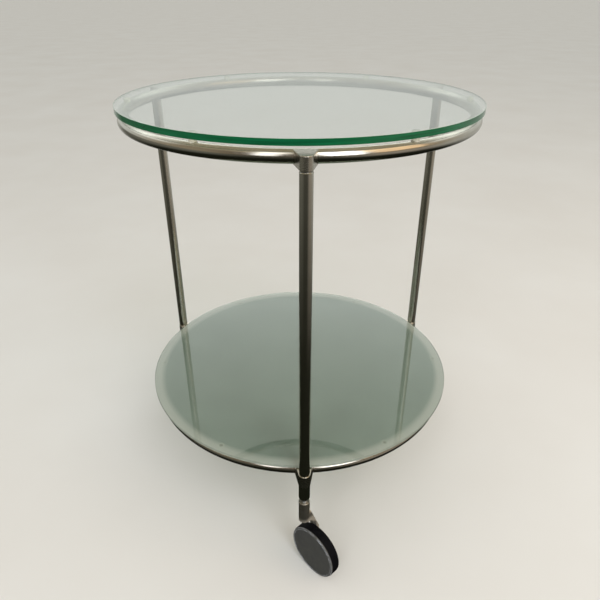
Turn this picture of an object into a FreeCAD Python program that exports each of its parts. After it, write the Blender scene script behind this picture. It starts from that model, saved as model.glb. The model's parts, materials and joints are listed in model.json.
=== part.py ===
import FreeCAD
import Part
import math
import os

os.makedirs("parts", exist_ok=True)

# Rolling side table: two round glass plates on tube hoops, three legs, three casters.
# Millimetres, +Z up. The origin is on the floor, under the middle of the table.
# The front leg stands on -Y, the other two stand a third of a turn to each side of it.

# Whole table
table_height = 640.0
hoop_radius = 240.0
leg_names = ["front", "rear_right", "rear_left"]
front_leg_angle = -90.0

# Glass plates, each a little larger than its hoop
top_glass_thickness = 8.0
top_glass_overhang = 2.0
top_arris = 0.6
shelf_glass_thickness = 4.0
shelf_glass_overhang = 5.0
shelf_arris = 0.4
glass_to_leg_clearance = 3.0

# Hoops of bent tube
hoop_tube = 16.0
hoop_wall = 1.5

# Clear bumpers between the hoops and the glass
bumpers_per_hoop = 6
bumper_diameter = 9.5
bumper_height = 4.2
bumper_edge = 0.5
bumper_stem = 4.0
bumper_stem_length = 6.0
bumper_hole_clearance = 0.1
bumper_sink = 4.0

# Cast brackets between the hoops and the legs
bracket_hoop_width = 27.4
bracket_crest_step = 0.4
bracket_under_step = 0.4
bracket_edge = 0.8
shelf_boss_step = 1.0
shelf_boss_rise = 5.0
thread_diameter = 8.0
stud_hole_clearance = 0.2
stud_engagement = 10.0
stud_hole_overrun = 1.5

# Leg tubes and what they hold
leg_tube = 15.0
leg_wall = 1.5
leg_end_edge = 0.4
insert_length = 16.0
insert_flange_inset = 1.1
insert_flange = 1.2

# Sleeve under each shelf bracket
sleeve_diameter = 16.0
sleeve_length = 24.8
sleeve_edge = 0.8

# Caster stem and swivel
neck_diameter = 9.6
neck_length = 6.0
washer_diameter = 11.6
washer_thickness = 2.0
washer_edge = 0.3
journal_diameter = 7.0
journal_length = 26.0
journal_end_gap = 0.3
swivel_gap = 0.3
running_clearance = 0.08
stem_engagement = 12.0
groove_depth = 1.1
swivel_pin_diameter = 2.5
swivel_pin_drop = 10.7
swivel_pin_proud = 0.15
swivel_pin_gap = 0.3

# Caster housing and arm
housing_diameter = 16.0
housing_length = 38.7
housing_top_edge = 0.8
housing_bottom_edge = 1.2
trail = 20.0
arm_rise = 18.0
arm_thickness = 4.5
arm_gap = 1.7
arm_top_radius = 7.0
arm_bend_radius = 7.0
arm_boss_radius = 9.0
arm_bend_forward = 5.0
arm_bend_above_axle = 25.0
arm_shoulder_drop = 38.0
arm_inner_start = 5.0
arm_inner_drop = 9.0
arm_root_inset = 0.8
arm_edge = 1.2

# Wheel
wheel_diameter = 82.0
wheel_width = 17.0
wheel_face_offset = 3.0
wheel_headroom = 12.0
tyre_depth = 7.0
tyre_back_step = 0.4
tyre_back_edge = 4.0
tyre_front_edge = 0.6
cap_thickness = 1.8
cap_inset = 0.6
cap_edge = 0.5
cap_gap = 0.2
cap_groove_inset = 1.7
cap_groove_width = 0.8
cap_groove_depth = 0.5
cap_skirt_wall = 2.4
cap_skirt_depth = 1.7
cap_skirt_clearance = 0.1
rim_thickness = 3.0
rim_back_step = 1.0
web_thickness = 2.5
web_inset = 3.7
hub_diameter = 17.0
core_edge = 0.5
rib_count = 8
rib_thickness = 1.8
rib_back_step = 2.5
rib_overlap = 0.5
axle_diameter = 6.0
axle_end_gap = 1.0
axle_end_edge = 0.5
axle_groove_depth = 0.5
retainer_diameter = 11.0
retainer_thickness = 1.0
retainer_gap = 0.3
retainer_recess_clearance = 1.0
hub_gap = 0.3

# Way each caster stands: the angle that its wheel's outer face looks to
caster_headings = {"front": -137.4, "rear_right": -149.0, "rear_left": -128.0}

# Heights worked out from the sizes above
tube_radius = hoop_tube / 2
bracket_above = tube_radius - bracket_crest_step
bracket_below = tube_radius + bracket_under_step
axle_height = wheel_diameter / 2
housing_bottom = wheel_diameter + wheel_headroom
housing_top = housing_bottom + housing_length
washer_bottom = housing_top + swivel_gap
neck_bottom = washer_bottom + washer_thickness
sleeve_bottom = neck_bottom + neck_length
sleeve_top = sleeve_bottom + sleeve_length
shelf_hoop_height = sleeve_top + bracket_below
shelf_glass_underside = shelf_hoop_height + tube_radius + bumper_height
shelf_height = shelf_glass_underside + shelf_glass_thickness
leg_bottom = shelf_hoop_height + bracket_above + shelf_boss_rise
top_glass_underside = table_height - top_glass_thickness
top_hoop_height = top_glass_underside - bumper_height - tube_radius
leg_top = top_hoop_height - bracket_below - insert_flange

# Widths worked out from the sizes above
top_glass_diameter = 2 * (hoop_radius + tube_radius + top_glass_overhang)
shelf_glass_diameter = 2 * (hoop_radius + tube_radius + shelf_glass_overhang)
leg_circle_radius = (shelf_glass_diameter + leg_tube) / 2 + glass_to_leg_clearance
leg_bore = leg_tube - 2 * leg_wall
top_boss_diameter = leg_tube
shelf_boss_diameter = leg_tube + 2 * shelf_boss_step
insert_flange_diameter = leg_tube - 2 * insert_flange_inset
leg_angles = {}
for place, leg_name in enumerate(leg_names):
    leg_angles[leg_name] = front_leg_angle + place * 360.0 / len(leg_names)

# Places along the wheel's axle, from the swivel axis, plus towards the wheel's outer face
wheel_face = wheel_face_offset
wheel_back = wheel_face - wheel_width
arm_inner = wheel_back - arm_gap
arm_outer = arm_inner - arm_thickness
cap_back = wheel_face - cap_thickness
web_front = wheel_face - web_inset
hub_front = web_front - web_thickness / 2
hub_back = wheel_back - tyre_back_step
arm_boss_face = hub_back - hub_gap
retainer_back = hub_front + retainer_gap
retainer_front = retainer_back + retainer_thickness
axle_front = cap_back - axle_end_gap

vector = FreeCAD.Vector
up = vector(0, 0, 1)
along_x = vector(1, 0, 0)
centre = vector(0, 0, 0)


def save_node(name, shape):
    shape.exportStep("parts/" + name + ".step")
    print(name, "solids", len(shape.Solids), "volume", round(shape.Volume, 1), "valid", shape.isValid())


def rounded_face(corners, to_point):
    # Each corner is (u, v, rounding). A corner with a rounding becomes a tangent arc.
    edges = []
    starts = []
    ends = []
    middles = []
    count = len(corners)
    for index in range(count):
        u, v, rounding = corners[index]
        corner = to_point(u, v)
        before = to_point(*corners[index - 1][:2]) - corner
        after = to_point(*corners[(index + 1) % count][:2]) - corner
        before.normalize()
        after.normalize()
        half_angle = before.getAngle(after) / 2
        setback = rounding / math.tan(half_angle)
        starts.append(corner + before * setback)
        ends.append(corner + after * setback)
        bisector = before + after
        if bisector.Length:
            bisector.normalize()
        middles.append(corner + bisector * (rounding / math.sin(half_angle) - rounding))
    for index in range(count):
        following = (index + 1) % count
        if corners[index][2]:
            edges.append(Part.Arc(starts[index], middles[index], ends[index]).toShape())
        edges.append(Part.LineSegment(ends[index], starts[following]).toShape())
    return Part.Face(Part.Wire(edges))


def turned(corners):
    # A solid turned about Z from (radius, height, rounding) corners
    face = rounded_face(corners, lambda radius, height: vector(radius, 0, height))
    return face.revolve(centre, up, 360)


def wheel_turned(corners):
    # A solid turned about the wheel's axle from (place along axle, radius, rounding) corners
    face = rounded_face(corners, lambda place, radius: vector(place, trail, axle_height + radius))
    return face.revolve(vector(0, trail, axle_height), along_x, 360)


def tube(outer, wall, bottom, top, edge):
    outer_radius = outer / 2
    inner_radius = outer_radius - wall
    return turned([
        (inner_radius, bottom, 0),
        (outer_radius, bottom, edge),
        (outer_radius, top, edge),
        (inner_radius, top, 0),
    ])


def cylinder(diameter, bottom, top):
    return Part.makeCylinder(diameter / 2, top - bottom, vector(0, 0, bottom))


def axle_cylinder(diameter, back, front):
    return Part.makeCylinder(diameter / 2, front - back, vector(back, trail, axle_height), along_x)


def at_leg(shape, leg_name):
    placed = shape.copy()
    angle = leg_angles[leg_name]
    placed.translate(vector(leg_circle_radius, 0, 0))
    placed.rotate(centre, up, angle)
    return placed


def at_caster(shape, leg_name):
    # The caster is drawn with its wheel's outer face towards +X and turned to its heading
    placed = shape.copy()
    placed.rotate(centre, up, caster_headings[leg_name] - leg_angles[leg_name])
    return at_leg(placed, leg_name)


def group_at_legs(shape):
    return Part.makeCompound([at_leg(shape, leg_name) for leg_name in leg_names])


def glass_plate(diameter, underside, upper_face, arris):
    radius = diameter / 2
    outline = [
        (0, underside),
        (radius - arris, underside),
        (radius, underside + arris),
        (radius, upper_face - arris),
        (radius - arris, upper_face),
        (0, upper_face),
    ]
    return turned([(corner[0], corner[1], 0) for corner in outline])


def bumper_angles():
    first = front_leg_angle + 180.0 / bumpers_per_hoop
    return [first + place * 360.0 / bumpers_per_hoop for place in range(bumpers_per_hoop)]


def at_bumper(shape, angle, height):
    placed = shape.copy()
    placed.translate(vector(hoop_radius, 0, height))
    placed.rotate(centre, up, angle)
    return placed


def hoop_rod(height, diameter):
    return Part.makeTorus(hoop_radius, diameter / 2, vector(0, 0, height), up)


def hoop(height):
    ring = hoop_rod(height, hoop_tube).cut(hoop_rod(height, hoop_tube - 2 * hoop_wall))
    hole_diameter = bumper_stem + 2 * bumper_hole_clearance
    hole = cylinder(hole_diameter, 0, hoop_tube)
    for angle in bumper_angles():
        ring = ring.cut(at_bumper(hole, angle, height))
    return ring


def bumpers(height):
    # Each bumper is saddled over the tube, with a short stem through the tube's upper wall
    pad_top = tube_radius + bumper_height
    pad = turned([
        (0, pad_top - bumper_height - bumper_sink, 0),
        (bumper_diameter / 2, pad_top - bumper_height - bumper_sink, 0),
        (bumper_diameter / 2, pad_top, bumper_edge),
        (0, pad_top, 0),
    ])
    stem = cylinder(bumper_stem, tube_radius - bumper_stem_length, pad_top - bumper_edge)
    solids = []
    rod = hoop_rod(height, hoop_tube)
    for angle in bumper_angles():
        saddle = at_bumper(pad, angle, height).cut(rod)
        solids.append(saddle.fuse(at_bumper(stem, angle, height)).removeSplitter())
    return Part.makeCompound(solids)


def bracket_outline(boss_radius):
    # Seen from above: straight walls from the hoop, tangent to the round boss at the leg
    reach = leg_circle_radius - hoop_radius
    half_width = bracket_hoop_width / 2
    distance = math.hypot(reach, half_width)
    towards_hoop = math.atan2(half_width, -reach)
    tangent_angle = towards_hoop - math.acos(boss_radius / distance)
    touch = vector(math.cos(tangent_angle), math.sin(tangent_angle), 0) * boss_radius
    corner = vector(-reach, half_width, 0)
    mirrored_touch = vector(touch.x, -touch.y, 0)
    mirrored_corner = vector(corner.x, -corner.y, 0)
    edges = [
        Part.LineSegment(corner, touch).toShape(),
        Part.Arc(touch, vector(boss_radius, 0, 0), mirrored_touch).toShape(),
        Part.LineSegment(mirrored_touch, mirrored_corner).toShape(),
        Part.LineSegment(mirrored_corner, corner).toShape(),
    ]
    return Part.Face(Part.Wire(edges))


def bracket(height, boss_diameter, boss_rise, hole_bottom, hole_top, hole_diameter):
    bottom = height - bracket_below
    crown = height + bracket_above
    top = crown + boss_rise
    outline = bracket_outline(boss_diameter / 2)
    outline.translate(vector(0, 0, bottom))
    body = outline.extrude(up * (top - bottom))
    inner_end = hoop_radius - leg_circle_radius
    outer_edges = []
    for edge in body.Edges:
        box = edge.BoundBox
        level = box.ZLength < bracket_edge
        at_inner_end = box.XLength < bracket_edge and box.XMin < inner_end + bracket_edge
        if level and not at_inner_end:
            outer_edges.append(edge)
    body = body.makeFillet(bracket_edge, outer_edges)
    rod = hoop_rod(height, hoop_tube)
    rod.translate(vector(-leg_circle_radius, 0, 0))
    body = body.cut(rod).cut(cylinder(hole_diameter, hole_bottom, hole_top))
    if boss_rise > 0:
        # Only the boss stands up past the edge of the glass
        under_glass = cylinder(2 * leg_circle_radius - boss_diameter, crown, top)
        under_glass.translate(vector(-leg_circle_radius, 0, 0))
        body = body.cut(under_glass)
    return body


def insert(bottom, top, flange_above):
    # Threaded plug in the end of a leg tube
    plug = cylinder(leg_bore, bottom, top)
    low = bottom
    high = top
    if flange_above:
        high = top + insert_flange
        plug = plug.fuse(cylinder(insert_flange_diameter, top, high)).removeSplitter()
    return plug.cut(cylinder(thread_diameter, low, high))


def caster_stem():
    journal_bottom = neck_bottom - journal_length
    journal_radius = journal_diameter / 2
    stem_top = leg_bottom + stem_engagement
    pin_height = housing_top - swivel_pin_drop
    groove_half = swivel_pin_diameter / 2 + swivel_pin_gap
    groove_radius = journal_radius - groove_depth
    return turned([
        (0, journal_bottom, 0),
        (journal_radius, journal_bottom, journal_end_gap),
        (journal_radius, pin_height - groove_half, 0),
        (groove_radius, pin_height - groove_half, 0),
        (groove_radius, pin_height + groove_half, 0),
        (journal_radius, pin_height + groove_half, 0),
        (journal_radius, neck_bottom, 0),
        (neck_diameter / 2, neck_bottom, 0),
        (neck_diameter / 2, sleeve_bottom, 0),
        (thread_diameter / 2, sleeve_bottom, 0),
        (thread_diameter / 2, stem_top, 0),
        (0, stem_top, 0),
    ])


def sleeve():
    bore_radius = thread_diameter / 2 + stud_hole_clearance
    outer_radius = sleeve_diameter / 2
    return turned([
        (bore_radius, sleeve_bottom, 0),
        (outer_radius, sleeve_bottom, sleeve_edge),
        (outer_radius, sleeve_top, 0),
        (bore_radius, sleeve_top, 0),
    ])


def thrust_washer():
    return turned([
        (journal_diameter / 2, washer_bottom, 0),
        (washer_diameter / 2, washer_bottom, 0),
        (washer_diameter / 2, neck_bottom, washer_edge),
        (journal_diameter / 2, neck_bottom, 0),
    ])


def strap(first, first_radius, second, second_radius):
    # Outline round two circles and the straight walls that touch both, in the Y-Z plane
    run = second - first
    distance = run.Length
    heading = math.atan2(run.z, run.y)
    spread = math.acos((first_radius - second_radius) / distance)
    corners = []
    for side in (1, -1):
        angle = heading + side * spread
        outward = vector(0, math.cos(angle), math.sin(angle))
        corners.append((first + outward * first_radius, second + outward * second_radius))
    along = run / distance
    edges = [
        Part.LineSegment(corners[0][0], corners[0][1]).toShape(),
        Part.Arc(corners[0][1], second + along * second_radius, corners[1][1]).toShape(),
        Part.LineSegment(corners[1][1], corners[1][0]).toShape(),
        Part.Arc(corners[1][0], first - along * first_radius, corners[0][0]).toShape(),
    ]
    return Part.Face(Part.Wire(edges))


def caster_arm():
    housing_radius = housing_diameter / 2
    housing = turned([
        (0, housing_bottom, 0),
        (housing_radius, housing_bottom, housing_bottom_edge),
        (housing_radius, housing_top, housing_top_edge),
        (0, housing_top, 0),
    ])
    # The arm leaves the housing behind the wheel, slants out and drops to the axle
    arm_top = housing_bottom + arm_rise
    arm_bottom = axle_height - arm_boss_radius
    span = 2 * (trail + arm_boss_radius)
    side = rounded_face([
        (0, arm_top, 0),
        (arm_root_inset - housing_radius, arm_top, 0),
        (arm_outer, arm_top - arm_shoulder_drop, arm_thickness),
        (arm_outer, arm_bottom, arm_edge),
        (arm_inner, arm_bottom, 0),
        (arm_inner, housing_bottom - arm_inner_drop, arm_edge),
        (-arm_inner_start, housing_bottom, 0),
        (0, housing_bottom, 0),
    ], lambda place, height: vector(place, -span / 2, height))
    slab = side.extrude(vector(0, 2 * span, 0))
    root = vector(arm_outer - arm_thickness, 0, arm_top - arm_top_radius)
    bend = vector(root.x, arm_bend_forward, axle_height + arm_bend_above_axle)
    foot = vector(root.x, trail, axle_height)
    reach = vector(-2 * root.x, 0, 0)
    upper = strap(root, arm_top_radius, bend, arm_bend_radius).extrude(reach)
    lower = strap(bend, arm_bend_radius, foot, arm_boss_radius).extrude(reach)
    arm = slab.common(upper.fuse(lower))
    boss = axle_cylinder(2 * arm_boss_radius, arm_inner - arm_edge, arm_boss_face)
    body = housing.fuse(arm).fuse(boss).removeSplitter()
    bore = journal_diameter + 2 * running_clearance
    bore_bottom = neck_bottom - journal_length - journal_end_gap
    body = body.cut(cylinder(bore, bore_bottom, housing_top + journal_end_gap))
    pin_height = housing_top - swivel_pin_drop
    pin_hole = Part.makeCylinder(swivel_pin_diameter / 2, housing_radius, vector(0, 0, pin_height), along_x)
    return body.cut(pin_hole).cut(axle_cylinder(axle_diameter, arm_outer, arm_boss_face))


def swivel_pin():
    start = journal_diameter / 2 - groove_depth + swivel_pin_gap
    end = housing_diameter / 2 + swivel_pin_proud
    pin_height = housing_top - swivel_pin_drop
    return Part.makeCylinder(swivel_pin_diameter / 2, end - start, vector(start, 0, pin_height), along_x)


def axle():
    radius = axle_diameter / 2
    return wheel_turned([
        (arm_outer, 0, 0),
        (arm_outer, radius, 0),
        (retainer_back, radius, 0),
        (retainer_back, radius - axle_groove_depth, 0),
        (retainer_front, radius - axle_groove_depth, 0),
        (retainer_front, radius, 0),
        (axle_front, radius, axle_end_edge),
        (axle_front, 0, 0),
    ])


def axle_retainer():
    inner = axle_diameter / 2 - axle_groove_depth
    return wheel_turned([
        (retainer_back, inner, 0),
        (retainer_back, retainer_diameter / 2, 0),
        (retainer_front, retainer_diameter / 2, 0),
        (retainer_front, inner, 0),
    ])


def wheel_core():
    bore_radius = axle_diameter / 2 + running_clearance
    hub_radius = hub_diameter / 2
    rim_outer = wheel_diameter / 2 - tyre_depth
    rim_inner = rim_outer - rim_thickness
    web_back = web_front - web_thickness
    rim_back = wheel_back + rim_back_step
    recess_radius = retainer_diameter / 2 + retainer_recess_clearance
    core = wheel_turned([
        (hub_back, bore_radius, 0),
        (hub_back, hub_radius, core_edge),
        (web_back, hub_radius, 0),
        (web_back, rim_inner, 0),
        (rim_back, rim_inner, core_edge),
        (rim_back, rim_outer, 0),
        (cap_back, rim_outer, 0),
        (cap_back, rim_inner, 0),
        (web_front, rim_inner, 0),
        (web_front, recess_radius, 0),
        (hub_front, recess_radius, 0),
        (hub_front, bore_radius, 0),
    ])
    # Ribs on the back of the web, from the hub to the rim
    rib_back = rim_back + rib_back_step
    rib = Part.makeBox(web_back - rib_back, rib_thickness, rim_inner - hub_radius + 2 * rib_overlap)
    rib.translate(vector(rib_back, trail - rib_thickness / 2, axle_height + hub_radius - rib_overlap))
    for place in range(rib_count):
        turned_rib = rib.copy()
        turned_rib.rotate(vector(0, trail, axle_height), along_x, place * 360.0 / rib_count)
        core = core.fuse(turned_rib)
    return core.removeSplitter()


def tyre():
    outer = wheel_diameter / 2
    inner = outer - tyre_depth
    back = wheel_back + tyre_back_step
    front = cap_back - cap_gap
    return wheel_turned([
        (back, inner, 0),
        (back, outer, tyre_back_edge),
        (front, outer, tyre_front_edge),
        (front, inner, 0),
    ])


def wheel_cap():
    cap_radius = wheel_diameter / 2 - cap_inset
    groove_outer = cap_radius - cap_groove_inset
    groove_inner = groove_outer - cap_groove_width
    skirt_outer = wheel_diameter / 2 - tyre_depth - rim_thickness - cap_skirt_clearance
    skirt_inner = skirt_outer - cap_skirt_wall
    return wheel_turned([
        (cap_back, 0, 0),
        (cap_back, skirt_inner, 0),
        (cap_back - cap_skirt_depth, skirt_inner, 0),
        (cap_back - cap_skirt_depth, skirt_outer, 0),
        (cap_back, skirt_outer, 0),
        (cap_back, cap_radius, 0),
        (wheel_face, cap_radius, cap_edge),
        (wheel_face, groove_outer, 0),
        (wheel_face - cap_groove_depth, groove_outer, 0),
        (wheel_face - cap_groove_depth, groove_inner, 0),
        (wheel_face, groove_inner, 0),
        (wheel_face, 0, 0),
    ])


# Glass
save_node("top_glass", glass_plate(top_glass_diameter, top_glass_underside, table_height, top_arris))
save_node("shelf_glass", glass_plate(shelf_glass_diameter, shelf_glass_underside, shelf_height, shelf_arris))

# Hoops and bumpers
save_node("top_hoop", hoop(top_hoop_height))
save_node("shelf_hoop", hoop(shelf_hoop_height))
save_node("top_bumpers", bumpers(top_hoop_height))
save_node("shelf_bumpers", bumpers(shelf_hoop_height))

# Brackets: the upper ones have a blind threaded hole from below, the lower ones a through hole
top_bracket_bottom = top_hoop_height - bracket_below
shelf_bracket_bottom = shelf_hoop_height - bracket_below
blind_end = top_bracket_bottom + stud_engagement + stud_hole_overrun
through_hole = thread_diameter + 2 * stud_hole_clearance
top_bracket = bracket(
    top_hoop_height, top_boss_diameter, 0, top_bracket_bottom, blind_end, thread_diameter
)
shelf_bracket = bracket(
    shelf_hoop_height, shelf_boss_diameter, shelf_boss_rise, shelf_bracket_bottom, leg_bottom, through_hole
)

# Pieces that stand still at each leg
leg = tube(leg_tube, leg_wall, leg_bottom, leg_top, leg_end_edge)
still_pieces = {
    "top_bracket": top_bracket,
    "shelf_bracket": shelf_bracket,
    "leg_tube": leg,
    "caster_sleeve": sleeve(),
    "caster_stem": caster_stem(),
}
for piece_name, piece in still_pieces.items():
    for leg_name in leg_names:
        save_node(piece_name + "_" + leg_name, at_leg(piece, leg_name))

# Identical small pieces, one group for all three legs
stud_bottom = leg_top - stud_engagement
save_node("leg_studs", group_at_legs(cylinder(thread_diameter, stud_bottom, blind_end - stud_hole_overrun)))
save_node("leg_top_inserts", group_at_legs(insert(leg_top - insert_length, leg_top, True)))
save_node("leg_bottom_inserts", group_at_legs(insert(leg_bottom, leg_bottom + insert_length, False)))
save_node("thrust_washers", group_at_legs(thrust_washer()))

# Pieces of each caster that swivel or roll
moving_pieces = {
    "caster_arm": caster_arm(),
    "swivel_pin": swivel_pin(),
    "axle": axle(),
    "axle_retainer": axle_retainer(),
    "wheel_core": wheel_core(),
    "tyre": tyre(),
    "wheel_cap": wheel_cap(),
}
for piece_name, piece in moving_pieces.items():
    for leg_name in leg_names:
        save_node(piece_name + "_" + leg_name, at_caster(piece, leg_name))
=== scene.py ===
import json
import math

import bmesh
import bpy
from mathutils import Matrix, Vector


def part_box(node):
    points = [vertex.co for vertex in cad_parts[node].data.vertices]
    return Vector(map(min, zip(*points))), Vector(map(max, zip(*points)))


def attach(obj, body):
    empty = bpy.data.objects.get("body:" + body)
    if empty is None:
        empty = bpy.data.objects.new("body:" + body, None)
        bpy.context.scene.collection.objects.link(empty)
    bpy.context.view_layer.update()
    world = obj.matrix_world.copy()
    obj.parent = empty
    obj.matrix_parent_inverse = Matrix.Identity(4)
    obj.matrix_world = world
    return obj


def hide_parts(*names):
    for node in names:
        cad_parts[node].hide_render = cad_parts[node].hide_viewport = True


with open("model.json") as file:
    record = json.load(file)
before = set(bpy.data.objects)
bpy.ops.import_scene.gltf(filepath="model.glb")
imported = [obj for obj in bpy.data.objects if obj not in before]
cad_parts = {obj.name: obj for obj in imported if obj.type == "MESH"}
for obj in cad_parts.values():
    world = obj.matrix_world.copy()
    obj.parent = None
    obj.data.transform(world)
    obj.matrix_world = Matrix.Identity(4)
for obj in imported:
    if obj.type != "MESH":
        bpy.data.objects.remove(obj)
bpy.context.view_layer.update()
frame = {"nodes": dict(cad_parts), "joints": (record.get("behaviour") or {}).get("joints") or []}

scene = bpy.context.scene
scene.view_settings.view_transform = "Standard"
legNames = ["front", "rear_right", "rear_left"]
joints = {joint["name"]: joint for joint in frame["joints"]}
up = Vector((0, 0, 1))
mm = 0.001


# Colours and node trees

def linearColour(hexCode):
    # sRGB hex to the linear colour that a socket takes
    parts = [int(hexCode[place:place + 2], 16) / 255 for place in (1, 3, 5)]
    return tuple(p / 12.92 if p <= 0.04045 else ((p + 0.055) / 1.055) ** 2.4 for p in parts) + (1.0,)


def addNode(tree, kind, settings=None, values=None, links=None):
    node = tree.nodes.new(kind)
    for name, value in (settings or {}).items():
        setattr(node, name, value)
    for name, value in (values or {}).items():
        node.inputs[name].default_value = value
    for name, socket in (links or {}).items():
        tree.links.new(socket, node.inputs[name])
    return node


def newMaterial(name):
    material = bpy.data.materials.new(name)
    material.use_nodes = True
    material.node_tree.nodes.clear()
    return material, material.node_tree


def finishMaterial(tree, surface, volume=None):
    output = addNode(tree, "ShaderNodeOutputMaterial", links={"Surface": surface})
    if volume is not None:
        tree.links.new(volume, output.inputs["Volume"])


noiseSwing = {"From Min": 0.3, "From Max": 0.7}  # noise seldom leaves this range
drawnOut = 0.6  # share of fine noise in patterns that are drawn out


def grainPattern(tree, vector, along, across=None, turn=0.0, detail=3.0, fine=0.55):
    # Noise with grains of a size in millimetres, drawn out along X where another size across is given
    across = across or along
    sized = addNode(tree, "ShaderNodeMapping", {"vector_type": "TEXTURE"},
                    {"Scale": (along * mm, across * mm, across * mm), "Rotation": (0, 0, math.radians(turn))},
                    {"Vector": vector})
    return addNode(tree, "ShaderNodeTexNoise", values={"Scale": 1.0, "Detail": detail, "Roughness": fine},
                   links={"Vector": sized.outputs[0]}).outputs["Fac"]


def fadeColours(tree, driver, first, second, start=noiseSwing["From Min"], full=noiseSwing["From Max"]):
    # From the first colour to the second while the driver runs from start to full.
    # A colour is a hex code, a linear colour or a socket.
    share = addNode(tree, "ShaderNodeMapRange", values={"From Min": start, "From Max": full},
                    links={"Value": driver}).outputs[0]
    mix = addNode(tree, "ShaderNodeMix", {"data_type": "RGBA"}, links={"Factor": share})
    for name, colour in (("A", first), ("B", second)):
        if isinstance(colour, bpy.types.NodeSocket):
            tree.links.new(colour, mix.inputs[name])
        else:
            mix.inputs[name].default_value = linearColour(colour) if isinstance(colour, str) else colour
    return mix.outputs["Result"]


# Materials: sizes and depths of patterns are in millimetres

# Brushing marks are finer than 0.1 mm in truth and are drawn wider so that they show
nickelTube = {
    "warm": "#BEB9AE", "pale": "#CAC6BC", "roughLow": 0.14, "roughHigh": 0.24, "patch": 45.0,
    "scratchAlong": 9.0, "scratchAcross": 0.35, "scratchTurn": 28.0, "scratchDepth": 0.0008,
}


def makeNickelTube():
    # Steel tube, satin-brushed and nickel plated: warm grey mirror, softened by fine slanting scratches
    material, tree = newMaterial("satin_nickel_plated_tube")
    surface = addNode(tree, "ShaderNodeUVMap", {"uv_map": "UVMap"}).outputs[0]
    place = addNode(tree, "ShaderNodeTexCoord").outputs["Object"]
    scratches = grainPattern(tree, surface, nickelTube["scratchAlong"], nickelTube["scratchAcross"],
                             nickelTube["scratchTurn"], fine=drawnOut)
    patches = grainPattern(tree, place, nickelTube["patch"])
    roughness = addNode(tree, "ShaderNodeMapRange",
                        values={**noiseSwing, "To Min": nickelTube["roughLow"],
                                "To Max": nickelTube["roughHigh"]}, links={"Value": scratches})
    relief = addNode(tree, "ShaderNodeBump", values={"Distance": nickelTube["scratchDepth"] * mm},
                     links={"Height": scratches})
    shader = addNode(tree, "ShaderNodeBsdfPrincipled", values={"Metallic": 1.0},
                     links={"Base Color": fadeColours(tree, patches, nickelTube["warm"], nickelTube["pale"]),
                            "Roughness": roughness.outputs[0], "Normal": relief.outputs[0]})
    finishMaterial(tree, shader.outputs[0])
    return material


# The skin's grain is drawn coarser than the tumbled surface has it
nickelCasting = {
    "warm": "#B3ADA1", "pale": "#C2BDB2", "skin": 2.2, "skinDetail": 2.0, "skinDepth": 0.008,
    "grain": 0.5, "grainDetail": 1.0, "patch": 14.0,
}
bracketGloss = {"roughLow": 0.2, "roughHigh": 0.3}
# Below armTop, its height over the floor, the arm is painted paler as painted light on its sloped face, and
# is more matt
casterGloss = {
    "roughLow": 0.34, "roughHigh": 0.46,
    "armTop": 103.0, "armFade": 5.0, "armPaintedLight": "#E4DED2", "armRough": 0.6,
}


def makeNickelCasting(name, gloss):
    # Die-cast zinc, tumbled and nickel plated: as the tube, with a slightly wavy skin and no scratches
    material, tree = newMaterial(name)
    place = addNode(tree, "ShaderNodeTexCoord").outputs["Object"]
    skin = grainPattern(tree, place, nickelCasting["skin"], detail=nickelCasting["skinDetail"])
    grain = grainPattern(tree, place, nickelCasting["grain"], detail=nickelCasting["grainDetail"])
    patches = grainPattern(tree, place, nickelCasting["patch"])
    colour = fadeColours(tree, patches, nickelCasting["warm"], nickelCasting["pale"])
    roughness = addNode(tree, "ShaderNodeMapRange",
                        values={**noiseSwing, "To Min": gloss["roughLow"], "To Max": gloss["roughHigh"]},
                        links={"Value": grain}).outputs[0]
    if "armTop" in gloss:
        # Painted light: paler there, and more matt
        height = addNode(tree, "ShaderNodeSeparateXYZ", links={"Vector": place}).outputs["Z"]
        armTop, fadeStart = gloss["armTop"] * mm, (gloss["armTop"] - gloss["armFade"]) * mm
        colour = fadeColours(tree, height, gloss["armPaintedLight"], colour, fadeStart, armTop)
        onHousing = addNode(tree, "ShaderNodeMapRange", values={"From Min": fadeStart, "From Max": armTop},
                            links={"Value": height}).outputs[0]
        roughness = addNode(tree, "ShaderNodeMix", values={"A": gloss["armRough"]},
                            links={"Factor": onHousing, "B": roughness}).outputs["Result"]
    relief = addNode(tree, "ShaderNodeBump", values={"Distance": nickelCasting["skinDepth"] * mm},
                     links={"Height": skin})
    shader = addNode(tree, "ShaderNodeBsdfPrincipled", values={"Metallic": 1.0},
                     links={"Base Color": colour, "Roughness": roughness, "Normal": relief.outputs[0]})
    finishMaterial(tree, shader.outputs[0])
    return material


# The lathe's feed is finer in truth and is drawn coarse enough to show
zincSteel = {
    "blue": "#9A9DA1", "grey": "#B3B1AB", "roughLow": 0.2, "roughHigh": 0.4, "patch": 6.0,
    "feed": 0.35, "feedAlong": 40.0,
}


def makeZincSteel():
    # Turned steel with bright zinc plate: cool grey, faint rings left by the lathe
    material, tree = newMaterial("bright_zinc_plated_steel")
    place = addNode(tree, "ShaderNodeTexCoord").outputs["Object"]
    patches = grainPattern(tree, place, zincSteel["patch"])
    rings = grainPattern(tree, place, zincSteel["feedAlong"], zincSteel["feed"], fine=drawnOut)
    roughness = addNode(tree, "ShaderNodeMapRange",
                        values={**noiseSwing, "To Min": zincSteel["roughLow"],
                                "To Max": zincSteel["roughHigh"]}, links={"Value": rings})
    shader = addNode(tree, "ShaderNodeBsdfPrincipled", values={"Metallic": 1.0},
                     links={"Base Color": fadeColours(tree, patches, zincSteel["blue"], zincSteel["grey"]),
                            "Roughness": roughness.outputs[0]})
    finishMaterial(tree, shader.outputs[0])
    return material


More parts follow.
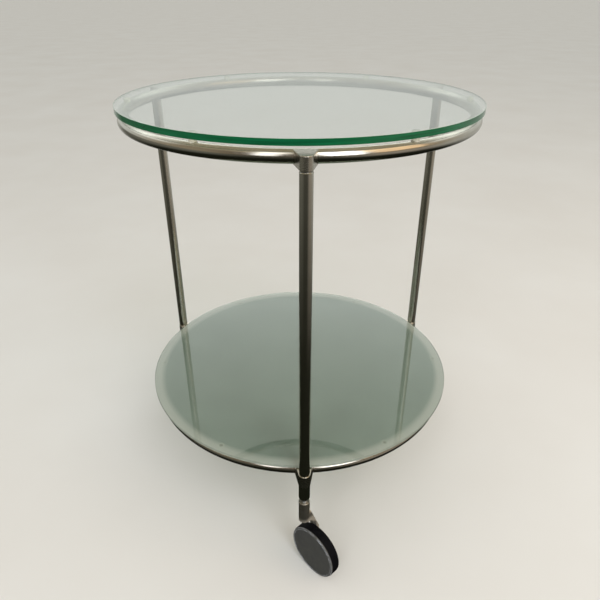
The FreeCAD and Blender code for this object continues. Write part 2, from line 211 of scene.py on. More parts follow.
# What float glass takes from the light per metre, and the tint of the light that lamps send through it
floatGlass = {"takes": "#308A6E", "perMetre": 10.5, "ior": 1.52, "shadow": "#DCEAE2"}
smears = {"along": 60.0, "across": 15.0, "turn": 20.0, "start": 0.5, "full": 0.75, "roughness": 0.025}


def letLampsPass(tree, glass, tint):
    # Lamps shine through as through a tinted film, so that the glass casts a pale shadow
    film = addNode(tree, "ShaderNodeBsdfTransparent", values={"Color": linearColour(tint)})
    path = addNode(tree, "ShaderNodeLightPath")
    return addNode(tree, "ShaderNodeMixShader", links={0: path.outputs["Is Shadow Ray"], 1: glass,
                                                       2: film.outputs[0]}).outputs[0]


def makeClearGlass(name, smeared):
    # Clear float glass: near colourless through its 8 mm, deep green along its width.
    # The shelf's face has no smears, so it mirrors the legs and the hoop above.
    material, tree = newMaterial(name)
    glass = addNode(tree, "ShaderNodeBsdfPrincipled",
                    values={"Base Color": (1, 1, 1, 1), "Transmission Weight": 1.0, "IOR": floatGlass["ior"],
                            "Roughness": 0.0})
    if smeared:
        place = addNode(tree, "ShaderNodeTexCoord").outputs["Object"]
        wiped = grainPattern(tree, place, smears["along"], smears["across"], smears["turn"], fine=drawnOut)
        roughness = addNode(tree, "ShaderNodeMapRange",
                            values={"From Min": smears["start"], "From Max": smears["full"],
                                    "To Max": smears["roughness"]}, links={"Value": wiped})
        tree.links.new(roughness.outputs[0], glass.inputs["Roughness"])
    surface = letLampsPass(tree, glass.outputs[0], floatGlass["shadow"])
    volume = addNode(tree, "ShaderNodeVolumeAbsorption", values={"Color": linearColour(floatGlass["takes"]),
                                                                 "Density": floatGlass["perMetre"]})
    finishMaterial(tree, surface, volume.outputs[0])
    return material


rimGlass = {"deep": "#034427", "lit": "#0A5F3A", "shine": 0.05, "streakAlong": 70.0, "streakHigh": 2.5}


def makeRimGlass():
    # Ground and polished edge of float glass: light that has crossed the whole plate leaves it deep green
    material, tree = newMaterial("float_glass_polished_edge")
    surface = addNode(tree, "ShaderNodeUVMap", {"uv_map": "UVMap"}).outputs[0]
    streaks = grainPattern(tree, surface, rimGlass["streakHigh"], rimGlass["streakAlong"], fine=drawnOut)
    shader = addNode(tree, "ShaderNodeBsdfPrincipled",
                     values={"IOR": floatGlass["ior"], "Roughness": rimGlass["shine"]},
                     links={"Base Color": fadeColours(tree, streaks, rimGlass["deep"], rimGlass["lit"])})
    finishMaterial(tree, shader.outputs[0])
    return material


arrisGlass = {"pale": "#C4D8C9", "white": "#D9E8DC", "grind": 6.0, "shine": 0.25, "see": 0.35}


def makeArrisGlass():
    # Narrow ground chamfer of the same glass: scatters light, so it shows as a pale green line
    material, tree = newMaterial("float_glass_ground_arris")
    place = addNode(tree, "ShaderNodeTexCoord").outputs["Object"]
    grind = grainPattern(tree, place, arrisGlass["grind"])
    shader = addNode(tree, "ShaderNodeBsdfPrincipled",
                     values={"IOR": floatGlass["ior"], "Roughness": arrisGlass["shine"],
                             "Transmission Weight": arrisGlass["see"]},
                     links={"Base Color": fadeColours(tree, grind, arrisGlass["pale"], arrisGlass["white"])})
    finishMaterial(tree, shader.outputs[0])
    return material


# Up to waistShare of its height over the hoop a pad is narrower by the waist.
# The pads stand evenly round the hoop, from half a step past the front leg on.
bumper = {
    "count": 6, "sink": 1.8 * mm, "edge": 0.9 * mm, "edgeSteps": 8, "waist": 0.25 * mm, "waistShare": 1 / 3,
    "gap": 0.04 * mm, "frontLeg": -90.0, "segments": 40,
}


def padSizes(node, hoopNode):
    # Radius of the hoop's centre line, radius of a pad and its height over the hoop
    low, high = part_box(node)
    hoopLow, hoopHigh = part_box(hoopNode)
    hoopRadius = (hoopHigh.x - hoopLow.x) / 2 - (hoopHigh.z - hoopLow.z) / 2
    return hoopRadius, (high.x - low.x) / 2 - hoopRadius, high.z - hoopHigh.z


padMark = {"edge": "#B4B9AC", "middle": "#84877A", "middleShare": 0.75, "softness": 0.8}


def markPads(tree, place, radius, colour):
    # Each silicone pad wets the etched face above it: a greyer disc inside a pale ring
    hoopRadius, padRadius = padSizes("shelf_bumpers", "shelf_hoop")[:2]
    ways = addNode(tree, "ShaderNodeSeparateXYZ", links={"Vector": place}).outputs
    angle = addNode(tree, "ShaderNodeMath", {"operation": "ARCTAN2"},
                    links={0: ways["Y"], 1: ways["X"]}).outputs[0]
    folded = addNode(tree, "ShaderNodeMath", {"operation": "PINGPONG"}, {1: math.pi / bumper["count"]},
                     {0: angle}).outputs[0]
    along = addNode(tree, "ShaderNodeMath", {"operation": "MULTIPLY"}, {1: hoopRadius},
                    {0: folded}).outputs[0]
    across = addNode(tree, "ShaderNodeMath", {"operation": "SUBTRACT"}, {1: hoopRadius},
                     {0: radius}).outputs[0]
    offset = addNode(tree, "ShaderNodeCombineXYZ", links={"X": along, "Y": across}).outputs[0]
    distance = addNode(tree, "ShaderNodeVectorMath", {"operation": "LENGTH"},
                       links={0: offset}).outputs["Value"]
    for tint, share in ((padMark["edge"], 1), (padMark["middle"], padMark["middleShare"])):
        outer = padRadius * share
        colour = fadeColours(tree, distance, tint, colour, outer - padMark["softness"] * mm, outer)
    return colour


# The etch is finer in truth and is drawn coarse enough to show.
# From hoopStart to hoopFull, radii of the plate, the face is painted paler: painted light from the hoop
# beneath.
etchedFace = {
    "frost": "#7A867A", "frostPale": "#838F83", "cloud": 90.0, "hoopLightPainted": "#ADB0A6", "hoopStart": 234.0,
    "hoopFull": 243.0, "etch": 0.8, "etchDetail": 2.0, "etchDepth": 0.004, "see": 0.16, "through": "#C6D2C9",
    "roughness": 0.55, "shadow": "#7F8A82",
}


def makeFrostedFace():
    # Underside of the shelf glass, acid-etched: milky grey-green, shows only what lies against it
    material, tree = newMaterial("acid_etched_glass")
    place = addNode(tree, "ShaderNodeTexCoord").outputs["Object"]
    clouds = grainPattern(tree, place, etchedFace["cloud"])
    etch = grainPattern(tree, place, etchedFace["etch"], detail=etchedFace["etchDetail"])
    colour = fadeColours(tree, clouds, etchedFace["frost"], etchedFace["frostPale"])
    # Painted light: the bright hoop lies just below the rim, and its light on the etched face above it is
    # painted into the colour
    flat = addNode(tree, "ShaderNodeVectorMath", {"operation": "MULTIPLY"}, {1: (1, 1, 0)},
                   {0: place}).outputs[0]
    radius = addNode(tree, "ShaderNodeVectorMath", {"operation": "LENGTH"}, links={0: flat}).outputs["Value"]
    colour = fadeColours(tree, radius, colour, etchedFace["hoopLightPainted"], etchedFace["hoopStart"] * mm,
                         etchedFace["hoopFull"] * mm)
    colour = markPads(tree, place, radius, colour)
    relief = addNode(tree, "ShaderNodeBump", values={"Distance": etchedFace["etchDepth"] * mm},
                     links={"Height": etch}).outputs[0]
    milk = addNode(tree, "ShaderNodeBsdfDiffuse", links={"Color": colour, "Normal": relief})
    etched = addNode(tree, "ShaderNodeBsdfPrincipled",
                     values={"Base Color": linearColour(etchedFace["through"]), "Transmission Weight": 1.0,
                             "IOR": floatGlass["ior"], "Roughness": etchedFace["roughness"]},
                     links={"Normal": relief})
    frost = addNode(tree, "ShaderNodeMixShader", values={0: etchedFace["see"]},
                    links={1: milk.outputs[0], 2: etched.outputs[0]})
    finishMaterial(tree, letLampsPass(tree, frost.outputs[0], etchedFace["shadow"]))
    return material


silicone = {
    "colour": "#EFEADA", "ior": 1.41, "roughness": 0.12, "milk": 0.6, "dimple": 1.2, "dimpleDetail": 1.0,
    "dimpleDepth": 0.02,
}


def makeSilicone():
    # Clear silicone bumper: water-clear with a slight cream cast, soft gloss
    material, tree = newMaterial("clear_silicone_rubber")
    place = addNode(tree, "ShaderNodeTexCoord").outputs["Object"]
    dimples = grainPattern(tree, place, silicone["dimple"], detail=silicone["dimpleDetail"])
    relief = addNode(tree, "ShaderNodeBump", values={"Distance": silicone["dimpleDepth"] * mm},
                     links={"Height": dimples})
    shader = addNode(tree, "ShaderNodeBsdfPrincipled",
                     values={"Base Color": linearColour(silicone["colour"]), "IOR": silicone["ior"],
                             "Transmission Weight": 1 - silicone["milk"], "Roughness": silicone["roughness"]},
                     links={"Normal": relief.outputs[0]})
    finishMaterial(tree, shader.outputs[0])
    return material


# Moulded polymers. The grain of their moulds is finer in truth and is drawn coarse enough to show.
# Thermoplastic rubber tread: near black with a cool sheen, slightly scuffed
treadRubber = {
    "first": "#07070B", "second": "#101015", "fadeStart": 0.4, "fadeFull": 0.75,
    "patch": 5.0, "patchDetail": 5.0, "grain": 0.6, "grainDetail": 2.0, "grainDepth": 0.03,
    "roughFrom": "patch", "roughLow": 0.5, "roughHigh": 0.68, "optics": {"Specular IOR Level": 0.08},
}
# ABS wheel cap against a spark-eroded mould: mid grey, matt, cool
capPlastic = {
    "first": "#434444", "second": "#4E4E4B", "fadeStart": 0.3, "fadeFull": 0.7,
    "patch": 9.0, "patchDetail": 4.0, "grain": 0.45, "grainDetail": 2.0, "grainDepth": 0.02,
    "roughFrom": "grain", "roughLow": 0.33, "roughHigh": 0.45, "optics": {"IOR": 1.5},
}
# Corners of the cap: a pale tone that is partly wear and partly a painted highlight
capEdgeWornHighlight = {**capPlastic, "first": "#DDE1E8"}
# Nylon wheel core: black, a little glossier than the cap
coreNylon = {
    "first": "#1A1A1D", "second": "#26272B", "fadeStart": 0.3, "fadeFull": 0.7,
    "patch": 4.0, "patchDetail": 4.0, "grain": 4.0, "grainDetail": 4.0, "grainDepth": 0.02,
    "roughFrom": "grain", "roughLow": 0.35, "roughHigh": 0.55, "optics": {"IOR": 1.53},
}


def makePolymer(name, finish):
    # Two tones in patches, and a fine grain from the mould
    material, tree = newMaterial(name)
    place = addNode(tree, "ShaderNodeTexCoord").outputs["Object"]
    patterns = {part: grainPattern(tree, place, finish[part], detail=finish[part + "Detail"])
                for part in ("patch", "grain")}
    colour = fadeColours(tree, patterns["patch"], finish["first"], finish["second"], finish["fadeStart"],
                         finish["fadeFull"])
    roughness = addNode(tree, "ShaderNodeMapRange",
                        values={**noiseSwing, "To Min": finish["roughLow"], "To Max": finish["roughHigh"]},
                        links={"Value": patterns[finish["roughFrom"]]})
    relief = addNode(tree, "ShaderNodeBump", values={"Distance": finish["grainDepth"] * mm},
                     links={"Height": patterns["grain"]})
    shader = addNode(tree, "ShaderNodeBsdfPrincipled", values=finish["optics"],
                     links={"Base Color": colour, "Roughness": roughness.outputs[0],
                            "Normal": relief.outputs[0]})
    finishMaterial(tree, shader.outputs[0])
    return material


nickelTubeMaterial = makeNickelTube()
bracketMaterial = makeNickelCasting("satin_nickel_plated_casting", bracketGloss)
# The casters are tumbled more coarsely than the brackets
casterMaterial = makeNickelCasting("matt_nickel_plated_casting", casterGloss)
zincMaterial = makeZincSteel()
glassMaterial = makeClearGlass("clear_float_glass", smeared=True)
rimMaterial = makeRimGlass()
arrisMaterial = makeArrisGlass()
shelfFaceMaterial = makeClearGlass("shelf_float_glass", smeared=False)
frostMaterial = makeFrostedFace()
siliconeMaterial = makeSilicone()
treadMaterial = makePolymer("moulded_tread_rubber", treadRubber)
capMaterial = makePolymer("moulded_grey_abs", capPlastic)
# Pale edge finish of the cap: partly wear, partly painted highlight
capEdgeHighlightMaterial = makePolymer("grey_abs_worn_painted_highlight", capEdgeWornHighlight)
nylonMaterial = makePolymer("moulded_black_nylon", coreNylon)
print("materials made:", len(bpy.data.materials))


# Meshes

def addObject(name, mesh, materials=()):
    piece = bpy.data.objects.new(name, mesh)
    scene.collection.objects.link(piece)
    for material in materials:
        mesh.materials.append(material)
    return piece


def keepPiece(piece, body, nodes):
    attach(piece, body)
    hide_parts(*nodes)


turned = {"sharp": 25.0, "weld": 1e-7}  # edges over this angle in degrees stay sharp; the weld is in metres


def turnedMesh(name, profile, segments, start=Vector((0, 0, 0)), axis=up, materialOf=None):
    # Turns (place along the axis, radius) points round the axis. Points of radius 0 close the ends.
    side = axis.orthogonal().normalized()
    other = axis.cross(side)
    shape = bmesh.new()
    layer = shape.loops.layers.uv.new("UVMap")
    rings = []
    for along, radius in profile:
        if radius == 0:
            rings.append([shape.verts.new(start + axis * along)] * segments)
            continue
        ring = []
        for step in range(segments):
            angle = 2 * math.pi * step / segments
            out = side * math.cos(angle) + other * math.sin(angle)
            ring.append(shape.verts.new(start + axis * along + out * radius))
        rings.append(ring)
    run = 0.0
    for index in range(len(profile) - 1):
        (alongA, radiusA), (alongB, radiusB) = profile[index], profile[index + 1]
        length = math.hypot(alongB - alongA, radiusB - radiusA)
        girth = 2 * math.pi * max(radiusA, radiusB)
        for step in range(segments):
            following = (step + 1) % segments
            corners = [(rings[index][step], step, run), (rings[index + 1][step], step, run + length),
                       (rings[index + 1][following], step + 1, run + length),
                       (rings[index][following], step + 1, run)]
            if radiusA == 0:
                corners.pop(3)
            if radiusB == 0:
                corners.pop(2)
            face = shape.faces.new([corner[0] for corner in corners])
            face.smooth = True
            if materialOf:
                face.material_index = materialOf(index)
            for loop, corner in zip(face.loops, corners):
                loop[layer].uv = (corner[2], girth * corner[1] / segments)
        run += length
    if profile[0] == profile[-1]:
        bmesh.ops.remove_doubles(shape, verts=shape.verts, dist=turned["weld"])
    if shape.calc_volume(signed=True) < 0:
        bmesh.ops.reverse_faces(shape, faces=shape.faces)
    mesh = bpy.data.meshes.new(name)
    shape.to_mesh(mesh)
    shape.free()
    mesh.set_sharp_from_angle(angle=math.radians(turned["sharp"]))
    return mesh


def reach(node, start, axis):
    # Lowest and highest place of a CAD node along an axis, and its largest distance from it
    low, high, radius = math.inf, -math.inf, 0.0
    for vertex in frame["nodes"][node].data.vertices:
        offset = vertex.co - start
        along = offset.dot(axis)
        low, high = min(low, along), max(high, along)
        radius = max(radius, (offset - axis * along).length)
    return low, high, radius


def arcPoints(alongCentre, radiusCentre, size, startDegrees, endDegrees, steps):
    # Points on a round edge of a profile. 0 degrees points away from the axis, 90 along it.
    points = []
    for step in range(steps + 1):
        angle = math.radians(startDegrees + (endDegrees - startDegrees) * step / steps)
        points.append((alongCentre + size * math.sin(angle), radiusCentre + size * math.cos(angle)))
    return points


# Geometry Nodes

def newShapeTree(name, inputs):
    tree = bpy.data.node_groups.new(name, "GeometryNodeTree")
    tree.interface.new_socket("Geometry", in_out="OUTPUT", socket_type="NodeSocketGeometry")
    for label, kind in inputs.items():
        tree.interface.new_socket(label, in_out="INPUT", socket_type=kind)
    return tree, addNode(tree, "NodeGroupInput").outputs


def growMesh(name, tree, sizes):
    # Runs a tree with its sizes and keeps the result as a plain mesh
    holder = bpy.data.objects.new(name, bpy.data.meshes.new(name))
    scene.collection.objects.link(holder)
    modifier = holder.modifiers.new(tree.name, "NODES")
    modifier.node_group = tree
    for item in tree.interface.items_tree:
        if item.in_out == "INPUT":
            modifier[item.identifier] = sizes[item.name]
    graph = bpy.context.evaluated_depsgraph_get()
    mesh = bpy.data.meshes.new_from_object(holder.evaluated_get(graph), preserve_all_data_layers=True,
                                           depsgraph=graph)
    bpy.data.objects.remove(holder)
    mesh.name = name
    return mesh


def faceOutwards(mesh):
    shape = bmesh.new()
    shape.from_mesh(mesh)
    bmesh.ops.recalc_face_normals(shape, faces=shape.faces)
    if shape.calc_volume(signed=True) < 0:
        bmesh.ops.reverse_faces(shape, faces=shape.faces)
    shape.to_mesh(mesh)
    shape.free()


def withLength(tree, curve):
    # The distance along a curve, kept on its points
    capture = addNode(tree, "GeometryNodeCaptureAttribute", {"domain": "POINT"})
    capture.capture_items.new("FLOAT", "Length")
    parameter = addNode(tree, "GeometryNodeSplineParameter")
    tree.links.new(curve, capture.inputs["Geometry"])
    tree.links.new(parameter.outputs["Length"], capture.inputs["Length"])
    return capture.outputs["Geometry"], capture.outputs["Length"]


hoops = {"pointsAround": 289, "pointsOfTube": 49, "weld": 1e-5}


def makeHoopTree():
    # A tube bent to a full circle, with its own length and girth as a UV map
    tree, inputs = newShapeTree("bent_hoop", {
        "Hoop Radius": "NodeSocketFloat", "Tube Radius": "NodeSocketFloat", "Height": "NodeSocketFloat",
        "Points Around": "NodeSocketInt", "Points of Tube": "NodeSocketInt", "Finish": "NodeSocketMaterial"})
    circles = []
    for points, radius in (("Points Around", "Hoop Radius"), ("Points of Tube", "Tube Radius")):
        circle = addNode(tree, "GeometryNodeCurveArc", {"mode": "RADIUS"},
                         {"Start Angle": 0.0, "Sweep Angle": 2 * math.pi},
                         {"Resolution": inputs[points], "Radius": inputs[radius]})
        circles += withLength(tree, circle.outputs["Curve"])
    path, pathLength, section, sectionLength = circles
    tube = addNode(tree, "GeometryNodeCurveToMesh", links={"Curve": path, "Profile Curve": section})
    uv = addNode(tree, "ShaderNodeCombineXYZ", links={"X": pathLength, "Y": sectionLength})
    stored = addNode(tree, "GeometryNodeStoreNamedAttribute", {"data_type": "FLOAT2", "domain": "CORNER"},
                     {"Name": "UVMap"}, {"Geometry": tube.outputs[0], "Value": uv.outputs[0]})
    closed = addNode(tree, "GeometryNodeMergeByDistance", values={"Distance": hoops["weld"]},
                     links={"Geometry": stored.outputs[0]})
    lift = addNode(tree, "ShaderNodeCombineXYZ", links={"Z": inputs["Height"]})
    placed = addNode(tree, "GeometryNodeTransform", links={"Geometry": closed.outputs[0],
                                                           "Translation": lift.outputs[0]})
    smooth = addNode(tree, "GeometryNodeSetShadeSmooth", links={"Geometry": placed.outputs[0]})
    real = addNode(tree, "GeometryNodeRealizeInstances", links={"Geometry": smooth.outputs[0]})
    painted = addNode(tree, "GeometryNodeSetMaterial", links={"Geometry": real.outputs[0],
                                                              "Material": inputs["Finish"]})
    addNode(tree, "NodeGroupOutput", links={"Geometry": painted.outputs[0]})
    return tree


def makeRingTree():
    # Copies of one piece, evenly round a circle from the first angle on
    tree, inputs = newShapeTree("pieces_round_hoop", {
        "Piece": "NodeSocketObject", "Count": "NodeSocketInt", "Hoop Radius": "NodeSocketFloat",
        "Height": "NodeSocketFloat", "First Angle": "NodeSocketFloat", "Finish": "NodeSocketMaterial"})
    circle = addNode(tree, "GeometryNodeMeshCircle", links={"Vertices": inputs["Count"],
                                                            "Radius": inputs["Hoop Radius"]})
    lift = addNode(tree, "ShaderNodeCombineXYZ", links={"Z": inputs["Height"]})
    turn = addNode(tree, "ShaderNodeCombineXYZ", links={"Z": inputs["First Angle"]})
    placed = addNode(tree, "GeometryNodeTransform", links={"Geometry": circle.outputs[0],
                                                           "Translation": lift.outputs[0],
                                                           "Rotation": turn.outputs[0]})
    source = addNode(tree, "GeometryNodeObjectInfo", links={"Object": inputs["Piece"]})
    copies = addNode(tree, "GeometryNodeInstanceOnPoints", links={"Points": placed.outputs[0],
                                                                  "Instance": source.outputs["Geometry"]})
    real = addNode(tree, "GeometryNodeRealizeInstances", links={"Geometry": copies.outputs[0]})
    painted = addNode(tree, "GeometryNodeSetMaterial", links={"Geometry": real.outputs[0],
                                                              "Material": inputs["Finish"]})
    addNode(tree, "NodeGroupOutput", links={"Geometry": painted.outputs[0]})
    return tree


# Glass plates

topPlate = {"arris": 0.4 * mm, "crown": 0.1 * mm, "segments": 384}
shelfPlate = {"arris": 0.4 * mm, "crown": 0.08 * mm, "segments": 384}
# Material of each band of a plate's profile, from the middle of the lower face to that of the upper one
topBands = (0, 2, 1, 1, 2, 0)
shelfBands = (1, 0, 0, 0, 0, 0)


def plateProfile(node, plate):
    low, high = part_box(node)
    radius = min(high.x, high.y, -low.x, -low.y)
    bottom, top = low.z, high.z
    arris, crown = plate["arris"], plate["crown"]
    middle = (bottom + top) / 2
    return [(bottom, 0), (bottom, radius - arris - crown), (bottom + arris, radius - crown),
            (middle, radius), (top - arris, radius - crown), (top, radius - arris - crown), (top, 0)]


def makePlates():
    mesh = turnedMesh("top_glass_plate", plateProfile("top_glass", topPlate), topPlate["segments"],
                      materialOf=lambda band: topBands[band])
    plate = addObject("top_glass_plate", mesh, [glassMaterial, rimMaterial, arrisMaterial])
    keepPiece(plate, "frame", ["top_glass"])
    mesh = turnedMesh("shelf_glass_plate", plateProfile("shelf_glass", shelfPlate), shelfPlate["segments"],
                      materialOf=lambda band: shelfBands[band])
    plate = addObject("shelf_glass_plate", mesh, [shelfFaceMaterial, frostMaterial])
    keepPiece(plate, "frame", ["shelf_glass"])


makePlates()
print("glass plates made")


# Hoops and bumpers

def makeHoops():
    hoopTree = makeHoopTree()
    for node in ("top_hoop", "shelf_hoop"):
        low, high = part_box(node)
        tubeRadius = (high.z - low.z) / 2
        mesh = growMesh(node + "_tube", hoopTree, {
            "Hoop Radius": (high.x - low.x) / 2 - tubeRadius, "Tube Radius": tubeRadius,
            "Height": (high.z + low.z) / 2, "Points Around": hoops["pointsAround"],
            "Points of Tube": hoops["pointsOfTube"], "Finish": nickelTubeMaterial})
        faceOutwards(mesh)
        hoop = addObject(node + "_tube", mesh)
        keepPiece(hoop, "frame", [node])


def makeBumpers():
    ringTree = makeRingTree()
    for node, hoopNode in (("top_bumpers", "top_hoop"), ("shelf_bumpers", "shelf_hoop")):
        hoopRadius, radius, height = padSizes(node, hoopNode)
        height -= bumper["gap"]  # faces in one plane with the glass would flicker
        edge = bumper["edge"]
        profile = [(-bumper["sink"], 0), (-bumper["sink"], radius - bumper["waist"])]
        profile += [(height * bumper["waistShare"], radius - bumper["waist"])]
        profile += arcPoints(height - edge, radius - edge, edge, 0, 90, bumper["edgeSteps"])
        profile += [(height, 0)]
        pad = addObject(node + "_pattern", turnedMesh(node + "_pattern", profile, bumper["segments"]))
        mesh = growMesh(node + "_clear", ringTree, {
            "Piece": pad, "Count": bumper["count"], "Hoop Radius": hoopRadius,
            "Height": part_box(hoopNode)[1].z, "Finish": siliconeMaterial,
            "First Angle": math.radians(bumper["frontLeg"] + 180 / bumper["count"])})
        bpy.data.objects.remove(pad)
        pads = addObject(node + "_clear", mesh)
        keepPiece(pads, "frame", [node])


makeHoops()
makeBumpers()
print("hoops and bumpers made")


# Legs

legTube = {"wall": 1.5 * mm, "edge": 0.4 * mm, "segments": 72}
sleeve = {"edge": 0.8 * mm, "edgeSteps": 6, "bore": 4.2 * mm, "segments": 72}


def makeLegs():
    for leg in legNames:
        foot = Vector(joints["swivel_" + leg]["pos_m"])
        foot.z = 0
        node = "leg_tube_" + leg
        low, high, radius = reach(node, foot, up)
        edge, inner = legTube["edge"], radius - legTube["wall"]
        profile = [(low, inner), (low, radius - edge), (low + edge, radius), (high - edge, radius),
                   (high, radius - edge), (high, inner), (low, inner)]
        mesh = turnedMesh(node + "_brushed", profile, legTube["segments"], foot)
        piece = addObject(node + "_brushed", mesh, [nickelTubeMaterial])
        keepPiece(piece, "frame", [node])
        node = "caster_sleeve_" + leg
        low, high, radius = reach(node, foot, up)
        edge = sleeve["edge"]
        profile = [(high, sleeve["bore"]), (low, sleeve["bore"])]
        profile += arcPoints(low + edge, radius - edge, edge, -90, 0, sleeve["edgeSteps"])
        profile += [(high, radius), (high, sleeve["bore"])]
        mesh = turnedMesh(node + "_brushed", profile, sleeve["segments"], foot)
        piece = addObject(node + "_brushed", mesh, [nickelTubeMaterial])
        keepPiece(piece, "frame", [node])


makeLegs()
print("legs made")


# Wheels

tyre = {
    "backRound": 4.0 * mm, "backSteps": 10, "frontRound": 0.6 * mm, "frontSteps": 5, "depth": 7.0 * mm,
    "seam": 0.12 * mm, "seamWidth": 0.5 * mm, "segments": 144,
}
# The dish is given by shares of the cap's radius and of the dish's depth there
wheelCap = {
    "edge": 0.7 * mm, "edgeSteps": 6, "grooveIn": 2.2 * mm, "grooveWidth": 0.8 * mm, "grooveDepth": 0.5 * mm,
    "thickness": 1.8 * mm, "corner": 0.25 * mm, "dish": 0.35 * mm,
    "dishShape": [(0.8, 0.1), (0.5, 0.55), (0.25, 0.9), (0, 1)], "segments": 144,
}


def makeWheels():
    for leg in legNames:
        joint = joints["wheel_" + leg]
        hub, axis = Vector(joint["pos_m"]), Vector(joint["axis"]).normalized()
        body = "wheel_" + leg
        node = "tyre_" + leg
        low, high, radius = reach(node, hub, axis)
        back, front = tyre["backRound"], tyre["frontRound"]
        middle = (low + back + high - front) / 2
        inner = radius - tyre["depth"]
        profile = [(low, inner)]
        profile += arcPoints(low + back, radius - back, back, -90, 0, tyre["backSteps"])
        profile += [(middle - tyre["seamWidth"] / 2, radius), (middle, radius - tyre["seam"]),
                    (middle + tyre["seamWidth"] / 2, radius)]
        profile += arcPoints(high - front, radius - front, front, 0, 90, tyre["frontSteps"])
        profile += [(high, inner), (low, inner)]
        mesh = turnedMesh(node + "_tread", profile, tyre["segments"], hub, axis)
        piece = addObject(node + "_tread", mesh, [treadMaterial])
        keepPiece(piece, body, [node])
        node = "wheel_cap_" + leg
        low, high, radius = reach(node, hub, axis)
        edge = wheelCap["edge"]
        grooveOuter = radius - wheelCap["grooveIn"]
        grooveInner = grooveOuter - wheelCap["grooveWidth"]
        back = high - wheelCap["thickness"]
        floor = high - wheelCap["grooveDepth"]
        profile = [(back, 0), (back, radius)]
        profile += arcPoints(high - edge, radius - edge, edge, 0, 90, wheelCap["edgeSteps"])
        # Painted highlight: these bands of the profile take the pale edge finish
        highlightBands = [len(profile) - 4, len(profile) - 3]  # on the rounded edge
        corner = wheelCap["corner"]
        profile += [(high, grooveOuter + corner), (high - corner, grooveOuter), (floor, grooveOuter),
                    (floor, grooveInner), (high - corner, grooveInner), (high, grooveInner - corner)]
        highlightBands += [len(profile) - 6, len(profile) - 2]  # on the groove's two corners
        profile += [(high - wheelCap["dish"] * depth, radius * share)
                    for share, depth in wheelCap["dishShape"]]
        mesh = turnedMesh(node + "_face", profile, wheelCap["segments"], hub, axis,
                          materialOf=lambda band: 1 if band in highlightBands else 0)
        piece = addObject(node + "_face", mesh, [capMaterial, capEdgeHighlightMaterial])
        keepPiece(piece, body, [node])


makeWheels()
print("wheels made")


# Finishes of the CAD pieces that stay

def paintNodes():
    finishes = {"bracket": bracketMaterial, "caster_arm": casterMaterial, "wheel_core": nylonMaterial}
    for name, node in frame["nodes"].items():
        material = zincMaterial
        for part, finish in finishes.items():
            if part in name:
                material = finish
        for holder in node.material_slots:
            holder.material = material


paintNodes()
print("kept pieces painted")


# Studio: sizes are in metres, but the floor's mottle is in millimetres

floorPaint = {
    "half": 120.0, "grey": "#DEDCD7", "pale": "#E2E1DD", "mottle": 400.0, "roughness": 0.9, "shine": 0.1,
}
backdrop = {"pale": "#E2E1DD", "soft": "#F2F1EC", "softLevel": 0.78}
# The room that metal and glass mirror. A fade is the range of a direction's X, Y or Z over which its colour
# comes in; slant mixes a share of X into Y.
mirroredRoom = {
    "front": "#5E5240", "side": "#A39782", "sideFade": (0.5, 0.95),
    "wall": "#D6D9D4", "wallFade": (-0.1, 0.6),
    "wallHigh": "#F4F8F6", "wallHighLevel": 2.5, "wallHighFade": (0.3, 0.5),
    "ceiling": "#B3A98F", "ceilingFade": (0.5, 0.78),
    "lowLeft": "#74746B", "lowFront": "#4C4B42", "lowFrontFade": (-0.95, -0.5),
    "lowRight": "#A8A196", "lowRightFade": (0.3, 0.75),
    "lowBack": "#BDBDB6", "slant": 0.45, "lowBackFade": (0.36, 0.62),
    "darkFloor": "#1C1E15", "darkFloorFade": (-0.58, -0.26), "horizonFade": (-0.04, 0.04),
}
lamps = {
    "window_left": {"azimuth": -111, "width": 0.85, "height": 3.4, "radiance": 2.4, "colour": "#FBFCFF"},
    "window_right": {"azimuth": -66, "width": 1.45, "height": 3.4, "radiance": 3.6, "colour": "#FBFCFF"},
    "warm_side": {"azimuth": -30, "width": 2.2, "height": 2.8, "radiance": 1.3, "colour": "#F0CDA2"},
}
lampPlace = {"distance": 3.0, "middle": 2.5, "aim": Vector((0, 0, 0.5))}


def makeFloor():
    half = floorPaint["half"]
    mesh = bpy.data.meshes.new("studio_floor")
    mesh.from_pydata([(-half, -half, 0), (half, -half, 0), (half, half, 0), (-half, half, 0)], [],
                     [(0, 1, 2, 3)])
    material, tree = newMaterial("painted_studio_floor")
    place = addNode(tree, "ShaderNodeTexCoord").outputs["Object"]
    mottle = grainPattern(tree, place, floorPaint["mottle"])
    shader = addNode(tree, "ShaderNodeBsdfPrincipled",
                     values={"Roughness": floorPaint["roughness"], "Specular IOR Level": floorPaint["shine"]},
                     links={"Base Color": fadeColours(tree, mottle, floorPaint["grey"], floorPaint["pale"])})
    finishMaterial(tree, shader.outputs[0])
    floor = addObject("studio_floor", mesh, [material])
    floor.visible_glossy = False


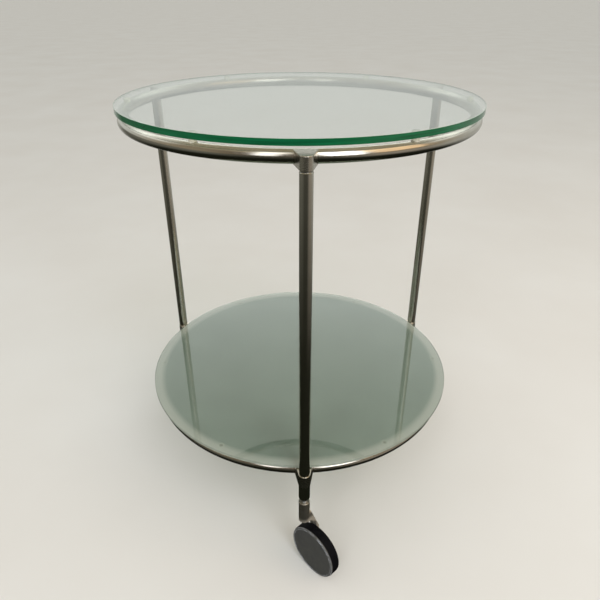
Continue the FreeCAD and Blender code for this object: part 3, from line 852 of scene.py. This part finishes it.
def makeWorld():
    # Pale all round for the camera and through glass; metal and glass mirror a room with a dark floor
    world = bpy.data.worlds.new("studio")
    scene.world = world
    world.use_nodes = True
    tree = world.node_tree
    tree.nodes.clear()
    place = addNode(tree, "ShaderNodeTexCoord").outputs["Generated"]
    ways = addNode(tree, "ShaderNodeSeparateXYZ", links={"Vector": place}).outputs
    sideways = addNode(tree, "ShaderNodeMath", {"operation": "ABSOLUTE"}, links={0: ways["X"]}).outputs[0]
    slant = addNode(tree, "ShaderNodeMath", {"operation": "MULTIPLY_ADD"}, {1: mirroredRoom["slant"]},
                    {0: ways["X"], 2: ways["Y"]}).outputs[0]
    bright = tuple(part * mirroredRoom["wallHighLevel"] for part in linearColour(mirroredRoom["wallHigh"]))
    wall = fadeColours(tree, ways["Z"], mirroredRoom["wall"], bright, *mirroredRoom["wallHighFade"])
    above = mirroredRoom["front"]
    for driver, colour, fade in ((sideways, mirroredRoom["side"], "sideFade"), (ways["Y"], wall, "wallFade"),
                                 (ways["Z"], mirroredRoom["ceiling"], "ceilingFade")):
        above = fadeColours(tree, driver, above, colour, *mirroredRoom[fade])
    below = mirroredRoom["lowLeft"]
    for driver, part in ((ways["X"], "lowFront"), (ways["X"], "lowRight"), (slant, "lowBack")):
        below = fadeColours(tree, driver, below, mirroredRoom[part], *mirroredRoom[part + "Fade"])
    below = fadeColours(tree, ways["Z"], mirroredRoom["darkFloor"], below, *mirroredRoom["darkFloorFade"])
    room = fadeColours(tree, ways["Z"], below, above, *mirroredRoom["horizonFade"])
    mirrored = addNode(tree, "ShaderNodeBackground", links={"Color": room})
    pale = addNode(tree, "ShaderNodeBackground", values={"Color": linearColour(backdrop["pale"])})
    soft = addNode(tree, "ShaderNodeBackground", values={"Color": linearColour(backdrop["soft"]),
                                                         "Strength": backdrop["softLevel"]})
    path = addNode(tree, "ShaderNodeLightPath").outputs
    shown = pale
    # A ray that was mirrored once or more sees the room, and one that was scattered sees the soft light
    for bounces, view in (("Glossy Depth", mirrored), ("Diffuse Depth", soft)):
        bounced = addNode(tree, "ShaderNodeMath", {"operation": "GREATER_THAN"}, {1: 0.5}, {0: path[bounces]})
        shown = addNode(tree, "ShaderNodeMixShader", links={0: bounced.outputs[0], 1: shown.outputs[0],
                                                            2: view.outputs[0]})
    addNode(tree, "ShaderNodeOutputWorld", links={"Surface": shown.outputs[0]})


def makeLamps():
    distance = lampPlace["distance"]
    for name, lamp in lamps.items():
        light = bpy.data.lights.new(name, "AREA")
        light.shape = "RECTANGLE"
        light.size, light.size_y = lamp["width"], lamp["height"]
        light.color = linearColour(lamp["colour"])[:3]
        light.energy = lamp["radiance"] * math.pi * lamp["width"] * lamp["height"]
        holder = bpy.data.objects.new(name, light)
        azimuth = math.radians(lamp["azimuth"])
        holder.location = (distance * math.cos(azimuth), distance * math.sin(azimuth), lampPlace["middle"])
        holder.rotation_euler = (lampPlace["aim"] - holder.location).to_track_quat("-Z", "Y").to_euler()
        scene.collection.objects.link(holder)


makeFloor()
makeWorld()
makeLamps()
print("studio made")


# Camera

camera = {
    "lens": 33.084, "sensor": 36.0, "near": 0.01, "location": (-0.0206, -0.8085, 0.7705),
    "turn": (60.517, -0.046, -1.476),
}


def makeCamera():
    data = bpy.data.cameras.new("camera")
    data.lens, data.sensor_width = camera["lens"], camera["sensor"]
    data.clip_start = camera["near"]
    holder = bpy.data.objects.new("camera", data)
    holder.location = camera["location"]
    holder.rotation_euler = [math.radians(angle) for angle in camera["turn"]]
    scene.collection.objects.link(holder)
    scene.camera = holder


makeCamera()
print("camera set")
